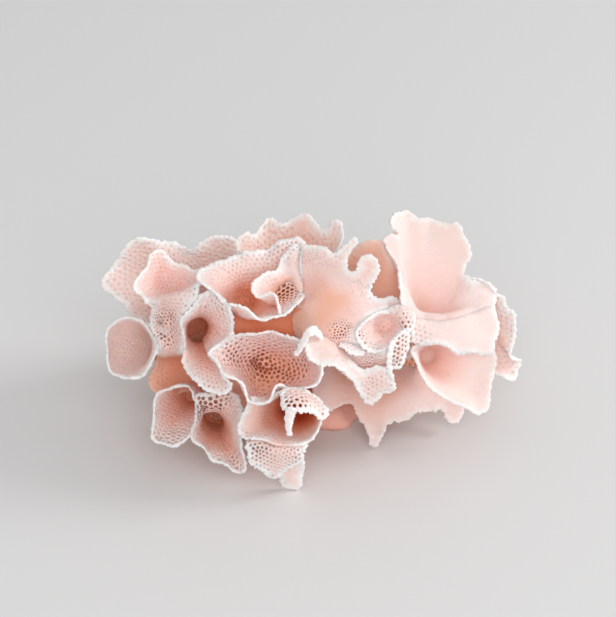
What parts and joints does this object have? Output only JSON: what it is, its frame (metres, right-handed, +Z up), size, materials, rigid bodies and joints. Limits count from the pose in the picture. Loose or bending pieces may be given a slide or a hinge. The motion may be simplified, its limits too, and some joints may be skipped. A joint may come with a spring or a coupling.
{
  "type": "lace bryozoan",
  "caption": "Lace bryozoan colony: thin pale pink fronds folded into cups, bowls, funnels and drapes on a flat cut base.",
  "frame": {"origin": "on the floor, under the middle of the colony's box", "axes": "+X along the colony's long side, to the right seen from its front; +Y to its back; +Z up, out of the flat cut base"},
  "size_m": [0.0836, 0.0563, 0.0422],
  "materials": {
    "lace": "matt, finely granular lime",
    "crust": "matt, rough lime"
  },
  "bodies": {
    "root": {"back_crown": "lace", "back_left_cup": "lace", "back_left_skirt": "lace", "back_middle_cup": "lace", "back_right_cup": "lace", "back_right_skirt": "lace", "centre_sheet": "lace", "front_tunnel": "lace", "holdfast": "crust", "keyhole_funnel": "lace", "lace_bowl": "lace", "left_cup": "lace", "left_low_sheet": "lace", "lower_left_cup": "lace", "lower_left_fold": "lace", "rear_left_ruffle": "lace", "right_edge_lobe": "lace", "right_funnel": "lace", "right_low_sheet": "lace", "right_lower_funnel": "lace", "right_mid_sheet": "lace", "right_top_lobe": "lace", "spine_wall": "lace", "upper_bowl": "lace", "upper_left_cup": "lace"}
  },
  "joints": []
}
